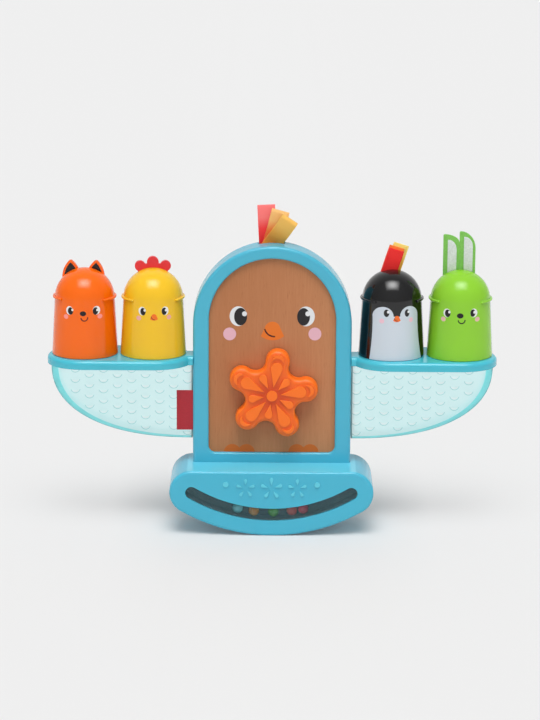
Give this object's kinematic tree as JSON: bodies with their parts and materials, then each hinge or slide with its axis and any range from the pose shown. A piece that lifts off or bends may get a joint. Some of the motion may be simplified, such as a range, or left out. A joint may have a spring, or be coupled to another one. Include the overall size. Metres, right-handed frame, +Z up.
{
  "type": "balance toy",
  "caption": "Rocking bird balance toy: curved base with a bead window, wooden front panel with a spinning flower, winged side trays and animal cups that lift off.",
  "frame": {"origin": "on the surface that the toy stands on, under the middle of its curved base", "axes": "+Z up, +X to the viewer's right as the printed face looks at the viewer, +Y away from the viewer"},
  "size_m": [0.33, 0.0666, 0.2371],
  "materials": {
    "blue_plastic": "smooth moulded plastic",
    "smoky_window": "smoky clear plastic window",
    "grey_plastic": "fine matt",
    "white_plastic": "smooth",
    "steel": "plain steel",
    "beech": "sanded and lacquered, vertical grain, printed face",
    "clear_wing": "clear teal plastic with raised feather marks",
    "red_ribbon": "woven satin",
    "orange_ribbon": "woven satin",
    "yellow_ribbon": "woven satin",
    "flower_orange": "satin moulded plastic",
    "bead_light_blue": "gloss",
    "bead_amber": "gloss",
    "bead_green": "gloss",
    "bead_dark_red": "gloss",
    "bead_pink": "gloss",
    "fox_orange": "gloss, printed face",
    "chick_yellow": "gloss, printed face",
    "comb_red": "satin",
    "penguin_black": "gloss, printed face",
    "bunny_green": "gloss, printed face",
    "green_felt": "felt",
    "pale_felt": "felt"
  },
  "bodies": {
    "toy_body": {"base_front_shell": "blue_plastic", "base_rear_shell": "blue_plastic", "window_lens": "smoky_window", "bead_track": "grey_plastic", "track_screws": "steel", "base_screws": "steel", "foot_screws": "steel", "body_front_frame": "blue_plastic", "body_rear_cover": "blue_plastic", "wood_face_panel": "beech", "body_screws": "steel", "spinner_bush": "white_plastic", "left_tray": "blue_plastic", "right_tray": "blue_plastic", "left_wing_shell": "clear_wing", "right_wing_shell": "clear_wing", "crest_clip": "white_plastic", "crest_ribbon_red": "red_ribbon", "crest_ribbon_orange": "orange_ribbon", "crest_ribbon_yellow": "yellow_ribbon", "side_tag": "red_ribbon"},
    "spinner": {"spinner_flower": "flower_orange", "spinner_axle": "steel", "axle_retainer": "steel"},
    "bead_light_blue": {"bead_light_blue": "bead_light_blue"},
    "bead_amber": {"bead_amber": "bead_amber"},
    "bead_green": {"bead_green": "bead_green"},
    "bead_dark_red": {"bead_dark_red": "bead_dark_red"},
    "bead_pink": {"bead_pink": "bead_pink"},
    "fox": {"fox_cup": "fox_orange"},
    "chick": {"chick_cup": "chick_yellow", "chick_comb": "comb_red"},
    "penguin": {"penguin_cup": "penguin_black", "tuft_clip": "white_plastic", "tuft_ribbon_red": "red_ribbon", "tuft_ribbon_orange": "orange_ribbon", "tuft_ribbon_yellow": "yellow_ribbon"},
    "bunny": {"bunny_cup": "bunny_green", "bunny_ears": "green_felt", "bunny_ear_linings": "pale_felt"}
  },
  "joints": [
    {"name": "flower_spin", "type": "hinge", "parent": "toy_body", "child": "spinner", "pos_m": [0, -0.009, 0.10098], "axis": [0, -1, 0], "continuous": true},
    {"name": "bead_green_roll", "type": "hinge", "parent": "toy_body", "child": "bead_green", "pos_m": [0, -0.0289, 0.12981], "axis": [0, -1, 0], "range_deg": [-15.5, 16.5]},
    {"name": "bead_light_blue_roll", "type": "hinge", "parent": "toy_body", "child": "bead_light_blue", "pos_m": [0, -0.0289, 0.12981], "axis": [0, -1, 0], "range_deg": [-15.6, 16.6]},
    {"name": "bead_amber_roll", "type": "hinge", "parent": "toy_body", "child": "bead_amber", "pos_m": [0, -0.0289, 0.12981], "axis": [0, -1, 0], "range_deg": [-15.6, 16.6]},
    {"name": "bead_dark_red_roll", "type": "hinge", "parent": "toy_body", "child": "bead_dark_red", "pos_m": [0, -0.0289, 0.12981], "axis": [0, -1, 0], "range_deg": [-15.6, 16.6]},
    {"name": "bead_pink_roll", "type": "hinge", "parent": "toy_body", "child": "bead_pink", "pos_m": [0, -0.0289, 0.12981], "axis": [0, -1, 0], "range_deg": [-15.6, 16.6]},
    {"name": "fox_lift", "type": "slide", "parent": "toy_body", "child": "fox", "axis": [0, 0, 1], "range_m": [0, 0.09]},
    {"name": "chick_lift", "type": "slide", "parent": "toy_body", "child": "chick", "axis": [0, 0, 1], "range_m": [0, 0.09]},
    {"name": "penguin_lift", "type": "slide", "parent": "toy_body", "child": "penguin", "axis": [0, 0, 1], "range_m": [0, 0.09]},
    {"name": "bunny_lift", "type": "slide", "parent": "toy_body", "child": "bunny", "axis": [0, 0, 1], "range_m": [0, 0.09]}
  ],
  "couplings": [
    {"joint": "bead_light_blue_roll", "follows": "bead_green_roll", "ratio": 1},
    {"joint": "bead_amber_roll", "follows": "bead_green_roll", "ratio": 1},
    {"joint": "bead_dark_red_roll", "follows": "bead_green_roll", "ratio": 1},
    {"joint": "bead_pink_roll", "follows": "bead_green_roll", "ratio": 1}
  ]
}
